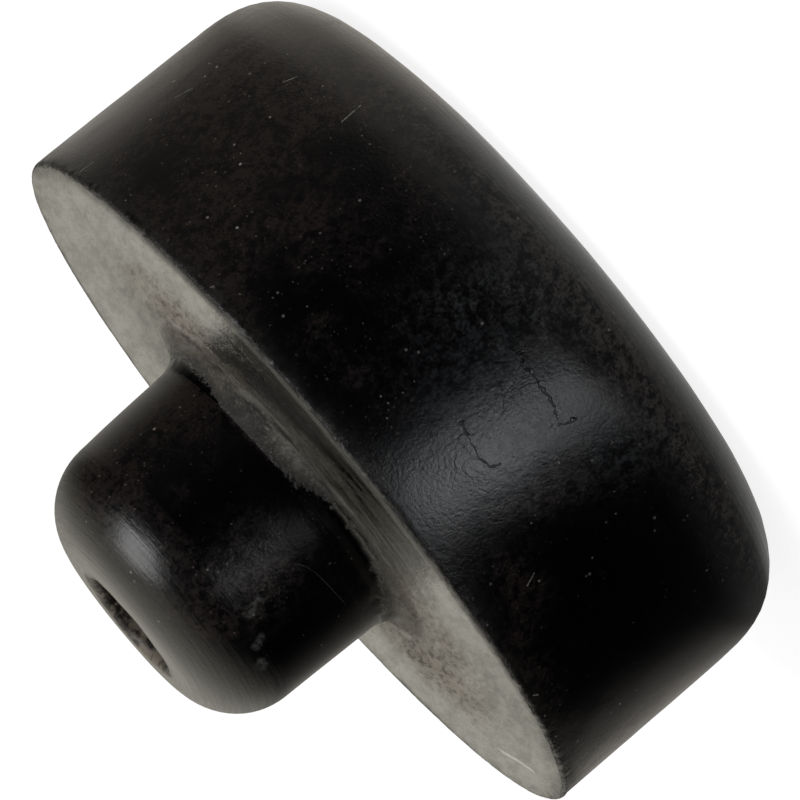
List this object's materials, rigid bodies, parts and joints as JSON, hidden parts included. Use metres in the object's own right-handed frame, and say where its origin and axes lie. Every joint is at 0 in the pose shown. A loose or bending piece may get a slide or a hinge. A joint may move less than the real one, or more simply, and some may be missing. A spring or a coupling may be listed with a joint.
{
  "type": "rubber washer",
  "caption": "Thick round rubber washer: a moulded disc with a rounded back edge, a short tapered locating spigot with a rounded end, and a bolt hole through both.",
  "frame": {"origin": "on the bolt hole's axis, at the disc's flat back face", "axes": "+Z along the bolt hole, from the back face to the spigot's end; the part is round about Z, so X and Y are free"},
  "size_m": [0.04, 0.04, 0.0262],
  "materials": {
    "rubber": "smooth moulded, with a duller ground shoulder face"
  },
  "bodies": {
    "root": {"washer": "rubber"}
  },
  "joints": []
}
